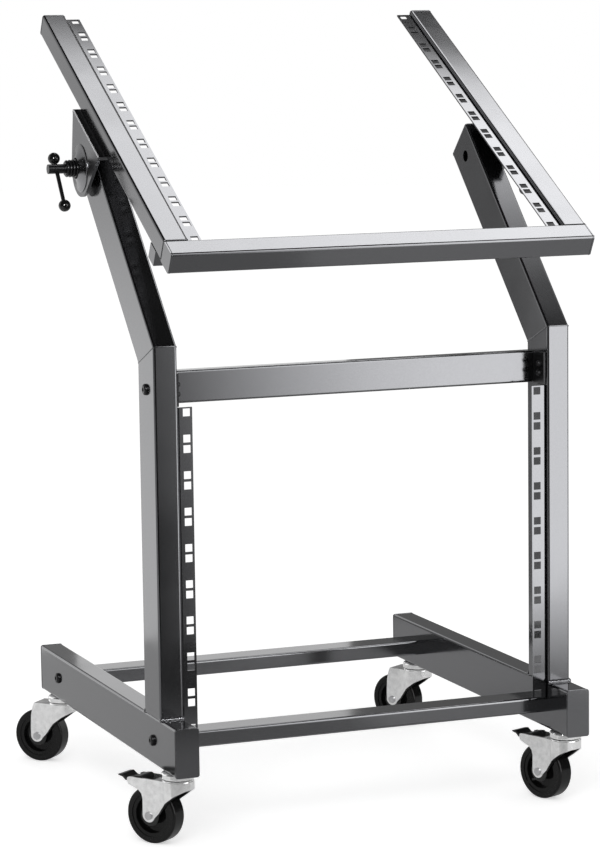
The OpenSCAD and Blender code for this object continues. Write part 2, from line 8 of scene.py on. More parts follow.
import bmesh
import bpy
from bpy.props import FloatProperty, FloatVectorProperty, IntProperty, PointerProperty
from mathutils import Matrix, Vector


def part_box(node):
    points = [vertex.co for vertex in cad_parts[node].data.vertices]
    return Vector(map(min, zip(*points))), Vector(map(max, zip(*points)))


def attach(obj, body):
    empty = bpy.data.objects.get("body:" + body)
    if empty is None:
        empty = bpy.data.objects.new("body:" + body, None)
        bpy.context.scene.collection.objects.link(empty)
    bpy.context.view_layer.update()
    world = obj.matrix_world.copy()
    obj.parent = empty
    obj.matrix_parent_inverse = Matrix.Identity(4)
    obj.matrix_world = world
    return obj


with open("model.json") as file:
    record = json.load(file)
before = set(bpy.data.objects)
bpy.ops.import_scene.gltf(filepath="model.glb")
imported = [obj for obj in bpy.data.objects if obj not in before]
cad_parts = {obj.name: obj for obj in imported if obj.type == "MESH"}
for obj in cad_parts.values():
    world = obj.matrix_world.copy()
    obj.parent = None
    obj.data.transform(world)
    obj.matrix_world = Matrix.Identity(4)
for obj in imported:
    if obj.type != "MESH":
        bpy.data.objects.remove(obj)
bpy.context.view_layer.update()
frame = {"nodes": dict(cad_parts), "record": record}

bl_info = {
    "name": "Rack cart looks",
    "version": (1, 0, 0),
    "blender": (4, 5, 0),
    "location": "3D View > Sidebar > Rack cart",
    "description": "Dresses the steel rack cart and sets its studio",
    "category": "Object",
}

SIDES = {"left": -1, "right": 1}
CORNERS = ("front_left", "front_right", "rear_left", "rear_right")
JOINTS = {j["name"]: j for j in frame["record"]["behaviour"]["joints"]}

# Places of the cart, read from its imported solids
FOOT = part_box("foot_right")
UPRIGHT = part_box("upright_right")
LOWER_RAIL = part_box("rail_lower_right")
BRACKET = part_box("pivot_bracket_right")
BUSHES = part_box("pivot_bushes")
TUBE_X = (FOOT[0].x + FOOT[1].x) / 2
OUTER_X = FOOT[1].x
INNER_X = FOOT[0].x
FOOT_TOP = FOOT[1].z
UPRIGHT_Y = (UPRIGHT[0].y + UPRIGHT[1].y) / 2
PIVOT = Vector((0, (BUSHES[0].y + BUSHES[1].y) / 2, (BUSHES[0].z + BUSHES[1].z) / 2))
HALF_W = (OUTER_X - INNER_X) / 2
HALF_D = (UPRIGHT[1].y - UPRIGHT[0].y) / 2

# Angles and sizes that those boxes don't give. ARM_SEAM is measured along the arm from the mitre.
TUBE_ROUND = 0.003
PLATE_T = 0.002
ARM_LEAN = radians(45)
ARM_SEAM = 0.333
MITRE_Z = UPRIGHT[1].z - HALF_D * tan(ARM_LEAN / 2)

# The tilting rack, in its own level frame, whose origin is the pivot
TILT = radians(29.2)
TILT_UNDERSIDE = 0.051
TILT_TUBE_H = 0.028
TILT_START = -0.2905
TILT_LENGTH = 0.538
TILT_BAR_HALF = 0.015
STOP_START = -0.271
STOP_LENGTH = 0.02
BRACKET_HALF = 0.0575

# How far the beads' paths lie outside the metal or in it, and how far they stop short of an edge
PROUD = 0.0004
SUNK = 0.0002
SHORT = 0.0015
EDGE_SHORT = 0.0005
STOP_SHORT = 0.002

# Radius of each bead or seam, and of the line of painted highlight along the brackets' edges, as a share of
# the set one
BASE_BEAD, STITCH_BEAD, CORNER_BEAD, LUMP_BEAD, STOP_BEAD = 1.6, 0.75, 0.8, 0.45, 0.7
MITRE_SEAM, CORNER_SEAM, EDGE_HIGHLIGHT = 1.5, 1.6, 2

# Outline of the pressed cone: (distance out of the bracket's face, radius)
CONE = ((-0.001, 0.0305), (0.0008, 0.0303), (0.0013, 0.0295), (0.0014, 0.028), (0.0022, 0.0245),
        (0.0037, 0.019), (0.0055, 0.0145), (0.006, 0.0132), (-0.001, 0.0132))


# Finishes


def shade(tree, kind, **settings):
    """Adds a node of the given kind."""
    made = tree.nodes.new(kind)
    for key, value in settings.items():
        setattr(made, key, value)
    return made


def new_finish(name):
    """A new material, with its node tree and its Principled shader."""
    finish = bpy.data.materials.new(name)
    finish.use_nodes = True
    tree = finish.node_tree
    shader = next(n for n in tree.nodes if n.type == "BSDF_PRINCIPLED")
    return finish, tree, shader


def noise(tree, place, size, detail):
    """A noise whose cells are about the given size."""
    made = shade(tree, "ShaderNodeTexNoise")
    made.inputs["Scale"].default_value = 1 / size
    made.inputs["Detail"].default_value = detail
    tree.links.new(place, made.inputs["Vector"])
    return made.outputs["Fac"]


def spread(tree, source, low, high, start=0.2, stop=0.8):
    """Maps a value smoothly onto a range."""
    made = shade(tree, "ShaderNodeMapRange", interpolation_type="SMOOTHSTEP")
    made.inputs["From Min"].default_value = start
    made.inputs["From Max"].default_value = stop
    made.inputs["To Min"].default_value = low
    made.inputs["To Max"].default_value = high
    tree.links.new(source, made.inputs["Value"])
    return made.outputs["Result"]


def tint(tree, source, dark, light):
    """Mixes two colours by a value from 0 to 1."""
    made = shade(tree, "ShaderNodeMix", data_type="RGBA")
    colours = [s for s in made.inputs if s.type == "RGBA"]
    colours[0].default_value = (*dark, 1)
    colours[1].default_value = (*light, 1)
    tree.links.new(source, made.inputs["Factor"])
    return next(s for s in made.outputs if s.type == "RGBA")


def relief(tree, height, depth, before=None):
    """A bump of the given depth, on top of another one if there is one before it."""
    made = shade(tree, "ShaderNodeBump")
    made.inputs["Distance"].default_value = depth
    tree.links.new(height, made.inputs["Height"])
    if before:
        tree.links.new(before, made.inputs["Normal"])
    return made.outputs["Normal"]


def object_place(tree):
    """The place on the object, which is also the place in the cart's frame."""
    return shade(tree, "ShaderNodeTexCoord").outputs["Object"]


def powder_coat(name, colour, metallic, roughness):
    """Semi-gloss powder coat: a slight waviness, with a speckle of tiny flakes and a faint cloudiness."""
    finish, tree, shader = new_finish(name)
    place = object_place(tree)
    cloud = noise(tree, place, 0.09, 3)
    grain = noise(tree, place, 0.0013, 3)
    dark = [c * 0.95 for c in colour]
    light = [c * 1.05 for c in colour]
    tree.links.new(tint(tree, spread(tree, grain, 0, 1), dark, light), shader.inputs["Base Color"])
    tree.links.new(spread(tree, cloud, roughness - 0.03, roughness + 0.04), shader.inputs["Roughness"])
    shader.inputs["Metallic"].default_value = metallic
    tree.links.new(relief(tree, noise(tree, place, 0.03, 1), 0.00002), shader.inputs["Normal"])
    return finish


def plating(name, colour, roughness, cloudiness):
    """Zinc plating: metal with cloudy patches and fine drawing marks."""
    finish, tree, shader = new_finish(name)
    place = object_place(tree)
    patches = noise(tree, place, 0.007, 4)
    marks = noise(tree, place, 0.0009, 2)
    dark = [c * (1 - cloudiness) for c in colour]
    tree.links.new(tint(tree, spread(tree, patches, 0, 1), dark, colour), shader.inputs["Base Color"])
    tree.links.new(spread(tree, patches, roughness + 0.08, roughness - 0.04), shader.inputs["Roughness"])
    shader.inputs["Metallic"].default_value = 0.9
    tree.links.new(relief(tree, marks, 0.000006), shader.inputs["Normal"])
    return finish


def moulding(name, colour, roughness, grain_size, depth, metallic=0.0):
    """Moulded plastic, blackened steel or a lighter line of painted highlight along an edge, with an even,
    fine grain.
    """
    finish, tree, shader = new_finish(name)
    place = object_place(tree)
    grain = noise(tree, place, grain_size, 2)
    light = [c * 1.5 + 0.002 for c in colour]
    tree.links.new(tint(tree, spread(tree, grain, 0, 1), colour, light), shader.inputs["Base Color"])
    tree.links.new(spread(tree, grain, roughness - 0.03, roughness + 0.05), shader.inputs["Roughness"])
    shader.inputs["Metallic"].default_value = metallic
    tree.links.new(relief(tree, grain, depth), shader.inputs["Normal"])
    return finish


def turned(name, colour, roughness, centre, axis, pitch, depth):
    """Moulded wheel plastic with faint turning rings round the axle."""
    finish, tree, shader = new_finish(name)
    place = object_place(tree)
    about = shade(tree, "ShaderNodeMapping", vector_type="POINT")
    turn = Vector(axis).rotation_difference(Vector((0, 0, 1))).to_matrix()
    about.inputs["Rotation"].default_value = turn.to_euler()
    about.inputs["Location"].default_value = -(turn @ Vector(centre))
    tree.links.new(place, about.inputs["Vector"])
    rings = shade(tree, "ShaderNodeTexWave", wave_type="RINGS", rings_direction="Z")
    rings.inputs["Scale"].default_value = 1 / pitch
    rings.inputs["Distortion"].default_value = 0.4
    tree.links.new(about.outputs["Vector"], rings.inputs["Vector"])
    grain = noise(tree, place, 0.0015, 2)
    light = [c * 1.6 + 0.002 for c in colour]
    tree.links.new(tint(tree, spread(tree, grain, 0, 1), colour, light), shader.inputs["Base Color"])
    tree.links.new(spread(tree, grain, roughness - 0.03, roughness + 0.05), shader.inputs["Roughness"])
    shader.inputs["Specular IOR Level"].default_value = 0.22
    fine = relief(tree, grain, 0.000005)
    tree.links.new(relief(tree, rings.outputs["Fac"], depth, fine), shader.inputs["Normal"])
    return finish


FINISHES = {}


def dress(node_name, finish):
    """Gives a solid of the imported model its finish."""
    for place in frame["nodes"][node_name].material_slots:
        place.material = finish


def dress_all(start, finish):
    """Gives every solid whose name starts so its finish."""
    found = [n for n in frame["nodes"] if n.startswith(start)]
    if not found:
        raise RuntimeError(f"no solid starts with {start}")
    for node_name in found:
        dress(node_name, finish)


# Geometry helpers


def link(name, data):
    """A new object in the scene, at the origin."""
    made = bpy.data.objects.new(name, data)
    bpy.context.scene.collection.objects.link(made)
    return made


def paths_mesh(name, paths):
    """A mesh of chains of edges. Each path is (points, closed or not, radius of the bead or seam on it)."""
    points, edges, sizes = [], [], []
    for path, closed, size in paths:
        first = len(points)
        points += [tuple(p) for p in path]
        sizes += [size] * len(path)
        edges += [(first + i, first + i + 1) for i in range(len(path) - 1)]
        if closed:
            edges.append((first + len(path) - 1, first))
    mesh = bpy.data.meshes.new(name)
    mesh.from_pydata(points, edges, [])
    radius = mesh.attributes.new("bead", "FLOAT", "POINT")
    radius.data.foreach_set("value", sizes)
    return mesh


def new_tree(name, inputs):
    """A geometry tree with the named inputs, and the nodes at its two ends."""
    tree = bpy.data.node_groups.new(name, "GeometryNodeTree")
    tree.interface.new_socket("Geometry", in_out="INPUT", socket_type="NodeSocketGeometry")
    for label, kind, default in inputs:
        made = tree.interface.new_socket(label, in_out="INPUT", socket_type=kind)
        if default is not None:
            made.default_value = default
    tree.interface.new_socket("Geometry", in_out="OUTPUT", socket_type="NodeSocketGeometry")
    return tree, tree.nodes.new("NodeGroupInput"), tree.nodes.new("NodeGroupOutput")


def baked(name, mesh, tree, values, body):
    """Runs the tree on the mesh and leaves a plain mesh that rides on the body."""
    made = link(name, mesh)
    shape = made.modifiers.new("shape", "NODES")
    shape.node_group = tree
    for item in tree.interface.items_tree:
        if item.in_out == "INPUT" and item.name in values:
            shape[item.identifier] = values[item.name]
    seen = made.evaluated_get(bpy.context.evaluated_depsgraph_get())
    plain = bpy.data.meshes.new_from_object(seen)
    if not plain.polygons:
        raise RuntimeError(f"{name} came out empty")
    made.modifiers.clear()
    made.data = plain
    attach(made, body)


def bead_tree():
    """Overlapping ripples of weld metal along every path, each of a slightly different size."""
    tree, given, out = new_tree("weld_bead", [
        ("Pitch", "NodeSocketFloat", 0.0014),
        ("Flatness", "NodeSocketFloat", 0.7),
        ("Seed", "NodeSocketInt", 4),
        ("Material", "NodeSocketMaterial", None)])
    links = tree.links
    curve = shade(tree, "GeometryNodeMeshToCurve")
    steps = shade(tree, "GeometryNodeResampleCurve", mode="LENGTH")
    ripple = shade(tree, "GeometryNodeMeshUVSphere")
    ripple.inputs["Segments"].default_value = 8
    ripple.inputs["Rings"].default_value = 5
    ripple.inputs["Radius"].default_value = 1
    smooth = shade(tree, "GeometryNodeSetShadeSmooth")
    put = shade(tree, "GeometryNodeInstanceOnPoints")
    size = shade(tree, "GeometryNodeInputNamedAttribute", data_type="FLOAT")
    size.inputs["Name"].default_value = "bead"
    vary = shade(tree, "FunctionNodeRandomValue", data_type="FLOAT")
    smallest, largest = 0.88, 1.12
    vary.inputs[2].default_value = smallest
    vary.inputs[3].default_value = largest
    grown = shade(tree, "ShaderNodeMath", operation="MULTIPLY")
    flat = shade(tree, "ShaderNodeMath", operation="MULTIPLY")
    scale = shade(tree, "ShaderNodeCombineXYZ")
    tangent = shade(tree, "GeometryNodeInputTangent")
    turn = shade(tree, "FunctionNodeAlignRotationToVector", axis="Z")
    real = shade(tree, "GeometryNodeRealizeInstances")
    finish = shade(tree, "GeometryNodeSetMaterial")
    links.new(given.outputs["Geometry"], curve.inputs["Mesh"])
    links.new(curve.outputs["Curve"], steps.inputs["Curve"])
    links.new(given.outputs["Pitch"], steps.inputs["Length"])
    links.new(steps.outputs["Curve"], put.inputs["Points"])
    links.new(ripple.outputs["Mesh"], smooth.inputs["Geometry"])
    links.new(smooth.outputs["Geometry"], put.inputs["Instance"])
    links.new(given.outputs["Seed"], vary.inputs["Seed"])
    links.new(size.outputs["Attribute"], grown.inputs[0])
    links.new(vary.outputs[1], grown.inputs[1])
    links.new(grown.outputs[0], flat.inputs[0])
    links.new(given.outputs["Flatness"], flat.inputs[1])
    links.new(grown.outputs[0], scale.inputs["X"])
    links.new(grown.outputs[0], scale.inputs["Y"])
    links.new(flat.outputs[0], scale.inputs["Z"])
    links.new(tangent.outputs["Tangent"], turn.inputs["Vector"])
    links.new(turn.outputs["Rotation"], put.inputs["Rotation"])
    links.new(scale.outputs["Vector"], put.inputs["Scale"])
    links.new(put.outputs["Instances"], real.inputs["Geometry"])
    links.new(real.outputs["Geometry"], finish.inputs["Geometry"])
    links.new(given.outputs["Material"], finish.inputs["Material"])
    links.new(finish.outputs["Geometry"], out.inputs["Geometry"])
    return tree


def seam_tree():
    """A ground seam: a thin raised line along every path."""
    tree, given, out = new_tree("ground_seam", [
        ("Sides", "NodeSocketInt", 8),
        ("Material", "NodeSocketMaterial", None)])
    links = tree.links
    curve = shade(tree, "GeometryNodeMeshToCurve")
    size = shade(tree, "GeometryNodeInputNamedAttribute", data_type="FLOAT")
    size.inputs["Name"].default_value = "bead"
    ring = shade(tree, "GeometryNodeCurvePrimitiveCircle")
    ring.inputs["Radius"].default_value = 1
    sweep = shade(tree, "GeometryNodeCurveToMesh")
    sweep.inputs["Fill Caps"].default_value = True
    smooth = shade(tree, "GeometryNodeSetShadeSmooth")
    real = shade(tree, "GeometryNodeRealizeInstances")
    finish = shade(tree, "GeometryNodeSetMaterial")
    links.new(given.outputs["Geometry"], curve.inputs["Mesh"])
    links.new(curve.outputs["Curve"], sweep.inputs["Curve"])
    links.new(size.outputs["Attribute"], sweep.inputs["Scale"])
    links.new(given.outputs["Sides"], ring.inputs["Resolution"])
    links.new(ring.outputs["Curve"], sweep.inputs["Profile Curve"])
    links.new(sweep.outputs["Mesh"], smooth.inputs["Geometry"])
    links.new(smooth.outputs["Geometry"], real.inputs["Geometry"])
    links.new(real.outputs["Geometry"], finish.inputs["Geometry"])
    links.new(given.outputs["Material"], finish.inputs["Material"])
    links.new(finish.outputs["Geometry"], out.inputs["Geometry"])
    return tree


def box_outline(half_a, half_b, round_r, steps=4):
    """Points of a rounded rectangle, anticlockwise."""
    points = []
    for quarter, (sign_a, sign_b) in enumerate(((1, 1), (-1, 1), (-1, -1), (1, -1))):
        for step in range(steps + 1):
            turn = pi / 2 * (quarter + step / steps)
            points.append((sign_a * (half_a - round_r) + round_r * cos(turn),
                           sign_b * (half_b - round_r) + round_r * sin(turn)))
    return points


def tilted(x, y, z):
    """Where a point of the tilting rack's own level frame lies in the cart's frame."""
    return Vector((x, PIVOT.y + y * cos(TILT) - z * sin(TILT), PIVOT.z + y * sin(TILT) + z * cos(TILT)))


def turned_form(name, outline, centre, body, finish, steps=72):
    """A closed outline of (x, radius), turned about the line along X through the centre."""
    form = bmesh.new()
    rings = []
    for step in range(steps):
        turn = 2 * pi * step / steps
        rings.append([form.verts.new((x, radius * cos(turn), radius * sin(turn))) for x, radius in outline])
    for ring, following in zip(rings, rings[1:] + rings[:1]):
        for i in range(len(outline)):
            face = form.faces.new((ring[i - 1], ring[i], following[i], following[i - 1]))
            face.smooth = True
    bmesh.ops.recalc_face_normals(form, faces=form.faces)
    mesh = bpy.data.meshes.new(name)
    form.to_mesh(mesh)
    form.free()
    mesh.transform(Matrix.Translation(centre))
    mesh.materials.append(finish)
    mesh.set_sharp_from_angle(angle=radians(40))
    made = link(name, mesh)
    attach(made, body)


# Sizes and colours that a user may change


class RackCartFinish(bpy.types.PropertyGroup):
    paint: FloatVectorProperty(
        name="Paint", description="Colour of the powder coat", subtype="COLOR", size=3,
        default=(0.150, 0.151, 0.157), min=0, max=1)
    paint_metal: FloatProperty(
        name="Paint metal", description="How metallic the powder coat looks", subtype="FACTOR",
        default=0.985, min=0, max=1)
    paint_roughness: FloatProperty(
        name="Paint roughness", description="Roughness of the powder coat", subtype="FACTOR",
        default=0.13, min=0.05, max=1)
    plate: FloatVectorProperty(
        name="Plating", description="Colour of the casters' zinc plating", subtype="COLOR", size=3,
        default=(1.0, 1.0, 1.0), min=0, max=1)
    black: FloatVectorProperty(
        name="Black plastic", description="Colour of wheels, pedals and balls", subtype="COLOR", size=3,
        default=(0.004, 0.004, 0.004), min=0, max=1)


class RackCartWelds(bpy.types.PropertyGroup):
    pitch: FloatProperty(
        name="Ripple pitch", description="Distance between the ripples of a weld bead", subtype="DISTANCE",
        default=0.0014, min=0.0005, max=0.01)
    bead: FloatProperty(
        name="Bead", description="Radius of the visible weld beads", subtype="DISTANCE",
        default=0.0022, min=0.0005, max=0.005)
    seam: FloatProperty(
        name="Seam", description="Radius of the ground seams", subtype="DISTANCE",
        default=0.0005, min=0.0001, max=0.002)
    stitch: FloatProperty(
        name="Stitch", description="Length of a stitch weld on the rails", subtype="DISTANCE",
        default=0.018, min=0.005, max=0.05)
    stitches: IntProperty(
        name="Stitches", description="Number of stitch welds on a rail", default=5, min=2, max=12)


class RackCartStudio(bpy.types.PropertyGroup):
    camera_place: FloatVectorProperty(
        name="Camera place", description="Where the camera stands", subtype="TRANSLATION", size=3,
        default=(-1.45605, -3.74442, 1.00106))
    camera_yaw: FloatProperty(
        name="Yaw", description="Turn of the camera to the right of straight ahead", subtype="ANGLE",
        default=0.37032)
    camera_pitch: FloatProperty(
        name="Pitch", description="How far the camera looks down", subtype="ANGLE", default=0.13297)
    camera_roll: FloatProperty(
        name="Roll", description="Turn of the camera about its line of sight", subtype="ANGLE",
        default=-0.01323)
    lens: FloatProperty(
        name="Lens", description="Focal length on a sensor 36 mm high", unit="CAMERA",
        default=131.107, min=10, max=400)
    floor: FloatVectorProperty(
        name="Floor", description="Colour of the floor", subtype="COLOR", size=3,
        default=(0.80, 0.80, 0.80), min=0, max=1)


# Operators


class RACKCART_OT_frame_finish(bpy.types.Operator):
    """Paint the frame, the rails and the tilting rack, and blacken or plate their fasteners"""

    bl_idname = "rackcart.frame_finish"
    bl_label = "Frame finish"

    def execute(self, context):
        look = context.scene.rackcart_finish
        rail_colour = [c * 1.05 for c in look.paint]
        paint = powder_coat("frame_paint", look.paint, look.paint_metal, look.paint_roughness)
        rail = powder_coat("rail_paint", rail_colour, look.paint_metal, look.paint_roughness - 0.02)
        bracket = powder_coat("bracket_paint", look.paint, look.paint_metal, roughness=0.3)
        cone = powder_coat("cone_paint", look.paint, look.paint_metal, roughness=0.2)
        screw = moulding("black_screw", (0.018, 0.018, 0.019), roughness=0.32, grain_size=0.0008,
                         depth=0.00002, metallic=0.7)
        zinc = plating("zinc_steel", (0.62, 0.62, 0.63), roughness=0.34, cloudiness=0.16)
        # A lighter finish for the line along each bracket's top edge: a painted highlight where that edge
        # catches the light.
        worn = moulding("worn_edge", (0.42, 0.42, 0.43), roughness=0.3, grain_size=0.0008, depth=0.000005)
        FINISHES.update(paint=paint, cone=cone, zinc=zinc, worn=worn)
        for start in ("foot", "upright", "arm", "lower_crossbar", "upper_crossbar", "tilt_", "stop_blocks"):
            dress_all(start, paint)
        dress_all("rail_", rail)
        dress_all("pivot_bracket", bracket)
        # The crossbar's end plates take this black finish too: blackened steel that also stands as painted
        # shade in the corner between the bar's end and the upright.
        for start in ("frame_screws", "crossbar_nuts", "crossbar_end_plates"):
            dress_all(start, screw)
        for start in ("crossbar_plugs", "pivot_bushes"):
            dress_all(start, zinc)
        return {"FINISHED"}


class RACKCART_OT_clamp_finish(bpy.types.Operator):
    """Blacken the clamp spindles, collars and cross bars, and polish their balls"""

    bl_idname = "rackcart.clamp_finish"
    bl_label = "Clamp finish"

    def execute(self, context):
        black = context.scene.rackcart_finish.black
        steel = moulding("black_steel", (0.016, 0.016, 0.017), roughness=0.24, grain_size=0.0007,
                         depth=0.00002, metallic=0.6)
        ball = moulding("ball_plastic", black, roughness=0.12, grain_size=0.0016, depth=0.000005)
        pad = moulding("black_plastic", black, roughness=0.42, grain_size=0.0009, depth=0.00003)
        dress_all("clamp_", steel)
        dress_all("tommy_bar", steel)
        dress_all("tommy_balls", ball)
        dress_all("friction_discs", pad)
        return {"FINISHED"}


class RACKCART_OT_caster_finish(bpy.types.Operator):
    """Plate the forks, cups, bolts and axles, and finish the wheels, tyres, guards and pedals"""

    bl_idname = "rackcart.caster_finish"
    bl_label = "Caster finish"

    def execute(self, context):
        look = context.scene.rackcart_finish
        tyre_black = [c * 1.3 for c in look.black]
        plate = plating("plated_steel", look.plate, roughness=0.15, cloudiness=0.17)
        guard = moulding("guard_plastic", look.black, roughness=0.34, grain_size=0.0012, depth=0.00002)
        for start in ("fork", "caster_"):
            dress_all(start, plate)
        dress_all("axle", FINISHES["zinc"])
        for start in ("guards", "brake_pedal"):
            dress_all(start, guard)
        for corner in CORNERS:
            roll = JOINTS["roll_" + corner]
            centre, axis = roll["pos_m"], roll["axis"]
            dress("wheel_" + corner, turned("wheel_plastic_" + corner, look.black, 0.1, centre, axis,
                                            pitch=0.006, depth=0.00001))
            dress("tyre_" + corner, turned("tyre_" + corner, tyre_black, 0.16, centre, axis,
                                           pitch=0.004, depth=0.00002))
        return {"FINISHED"}


class RACKCART_OT_weld_beads(bpy.types.Operator):
    """Lay the weld beads and ground seams along the joints of the base frame and the tilting rack, and a line
    of painted highlight along each bracket's top edge
    """

    bl_idname = "rackcart.weld_beads"
    bl_label = "Weld beads"

    def mitre_seam(self, side, radius):
        """Round the cut between an upright and its arm."""
        path = [Vector((side * (TUBE_X + x), UPRIGHT_Y + y, MITRE_Z - y * tan(ARM_LEAN / 2)))
                for x, y in box_outline(HALF_W, HALF_D, TUBE_ROUND)]
        return path, True, radius

    def foot_seam(self, side, y, radius):
        """Round the plate that closes a foot's end."""
        mid, half = (FOOT[0].z + FOOT_TOP) / 2, (FOOT_TOP - FOOT[0].z) / 2
        path = [Vector((side * TUBE_X + x, y, mid + z)) for x, z in box_outline(HALF_W, half, TUBE_ROUND)]
        return path, True, radius

    def arm_seam(self, side, radius):
        """Round the plate that closes an arm's end."""
        path = [Vector((side * TUBE_X + x,
                        UPRIGHT_Y + y * cos(ARM_LEAN) + ARM_SEAM * sin(ARM_LEAN),
                        MITRE_Z - y * sin(ARM_LEAN) + ARM_SEAM * cos(ARM_LEAN)))
                for x, y in box_outline(HALF_W, HALF_D, TUBE_ROUND)]
        return path, True, radius

    def rail_stitches(self, side, sizes):
        """Stitch welds up the inner corner between a lower rail and its upright."""
        x, y = side * (LOWER_RAIL[1].x - SUNK), LOWER_RAIL[1].y + SUNK
        low_gap, both_gaps = 0.02, 0.06
        pitch = (LOWER_RAIL[1].z - FOOT_TOP - both_gaps) / (sizes.stitches - 1)
        for i in range(sizes.stitches):
            z = FOOT_TOP + low_gap + i * pitch
            yield [Vector((x, y, z)), Vector((x, y, z + sizes.stitch))], False, sizes.bead * STITCH_BEAD

    def frame_paths(self, sizes):
        """Beads and seams of the base frame."""
        beads, seams = [], []
        across = (SHORT - HALF_W, 0, HALF_W - SHORT)
        for side in SIDES.values():
            seams.append(self.mitre_seam(side, sizes.seam * MITRE_SEAM))
            for end, outwards in ((0, -1), (1, 1)):
                seams.append(self.foot_seam(side, FOOT[end].y, sizes.seam))
                y = UPRIGHT[end].y + outwards * PROUD
                base = [Vector((side * TUBE_X + x, y, FOOT_TOP + PROUD)) for x in across]
                beads.append((base, False, sizes.bead * BASE_BEAD))
            seams.append(self.arm_seam(side, sizes.seam))
            beads += self.rail_stitches(side, sizes)
        return beads, seams

    def tube_ring(self, side, y):
        """Round a side tube of the tilting rack, at a distance along it."""
        mid = TILT_UNDERSIDE + TILT_TUBE_H / 2
        return [tilted(side * TUBE_X + x, y, mid + z)
                for x, z in box_outline(HALF_W, TILT_TUBE_H / 2, TUBE_ROUND)]

    def bar_end_ring(self, side):
        """Round the plate that closes an end of the tilting rack's crossbar."""
        mid = TILT_UNDERSIDE + TILT_TUBE_H / 2
        return [tilted(side * (OUTER_X - PLATE_T), TILT_START - TILT_BAR_HALF + y, mid + z)
                for y, z in box_outline(TILT_BAR_HALF, TILT_TUBE_H / 2, TUBE_ROUND)]

    def tilt_paths(self, sizes):
        """Beads and seams of the tilting rack, and the painted highlights along its brackets' top edges."""
        beads, seams, edges = [], [], []
        mid = TILT_UNDERSIDE + TILT_TUBE_H / 2
        top = TILT_UNDERSIDE + TILT_TUBE_H - SUNK
        flat = TILT_TUBE_H / 2 - TUBE_ROUND
        inner_x, edge_x = INNER_X - SUNK, BRACKET[1].x - EDGE_SHORT
        lump = (SHORT - HALF_W, 0, HALF_W - EDGE_SHORT)
        stop = (STOP_START + STOP_SHORT, STOP_START + STOP_LENGTH - STOP_SHORT)
        for side in SIDES.values():
            inner = [tilted(side * inner_x, TILT_START + SUNK, mid + z) for z in (-flat, 0, flat)]
            beads.append((inner, False, sizes.bead * CORNER_BEAD))
            corner = self.tube_ring(side, TILT_START)
            if side == SIDES["left"]:
                # A whole seam and a lumpy bead, where the right corner has only a short mark
                seams.append((corner, True, sizes.seam * CORNER_SEAM))
                over = [tilted(side * TUBE_X + x, TILT_START, top) for x in lump]
                beads.append((over, False, sizes.bead * LUMP_BEAD))
            else:
                seams.append((corner[:4], False, sizes.seam * CORNER_SEAM))
            seams.append((self.tube_ring(side, TILT_START + TILT_LENGTH), True, sizes.seam))
            seams.append((self.bar_end_ring(side), True, sizes.seam))
            # A thin lighter rod along the bracket's top edge: a painted highlight.
            edge = [tilted(side * edge_x, y, TILT_UNDERSIDE - PROUD) for y in (-BRACKET_HALF, BRACKET_HALF)]
            edges.append((edge, False, sizes.seam * EDGE_HIGHLIGHT))
            under = [tilted(side * inner_x, y, TILT_UNDERSIDE - SUNK) for y in stop]
            beads.append((under, False, sizes.bead * STOP_BEAD))
        return beads, seams, edges

    def execute(self, context):
        sizes = context.scene.rackcart_welds
        frame_beads, frame_seams = self.frame_paths(sizes)
        tilt_beads, tilt_seams, edges = self.tilt_paths(sizes)
        ripples, line = bead_tree(), seam_tree()
        bead = {"Pitch": sizes.pitch, "Flatness": 0.75, "Seed": 4, "Material": FINISHES["paint"]}
        seam = {"Sides": 8, "Material": FINISHES["paint"]}
        # The brackets' edge lines take the lighter finish, a painted highlight.
        highlight_line = {"Sides": 8, "Material": FINISHES["worn"]}
        for name, paths, tree, values, body in (
                ("weld_beads_frame", frame_beads, ripples, bead, "frame"),
                ("weld_beads_tilt", tilt_beads, ripples, bead, "tilt_rack"),
                ("ground_seams_frame", frame_seams, line, seam, "frame"),
                ("ground_seams_tilt", tilt_seams, line, seam, "tilt_rack"),
                ("bracket_edge_highlights", edges, line, highlight_line, "tilt_rack")):
            baked(name, paths_mesh(name + "_paths", paths), tree, values, body)
        return {"FINISHED"}


class RACKCART_OT_bracket_cones(bpy.types.Operator):
    """Press a shallow cone into each pivot bracket, round its collar"""

    bl_idname = "rackcart.bracket_cones"
    bl_label = "Bracket cones"

    def execute(self, context):
        for name, side in SIDES.items():
            face = side * BRACKET[1].x
            turned_form("bracket_cone_" + name, [(side * x, radius) for x, radius in CONE],
                        (face, PIVOT.y, PIVOT.z), "tilt_rack", FINISHES["cone"])
        return {"FINISHED"}


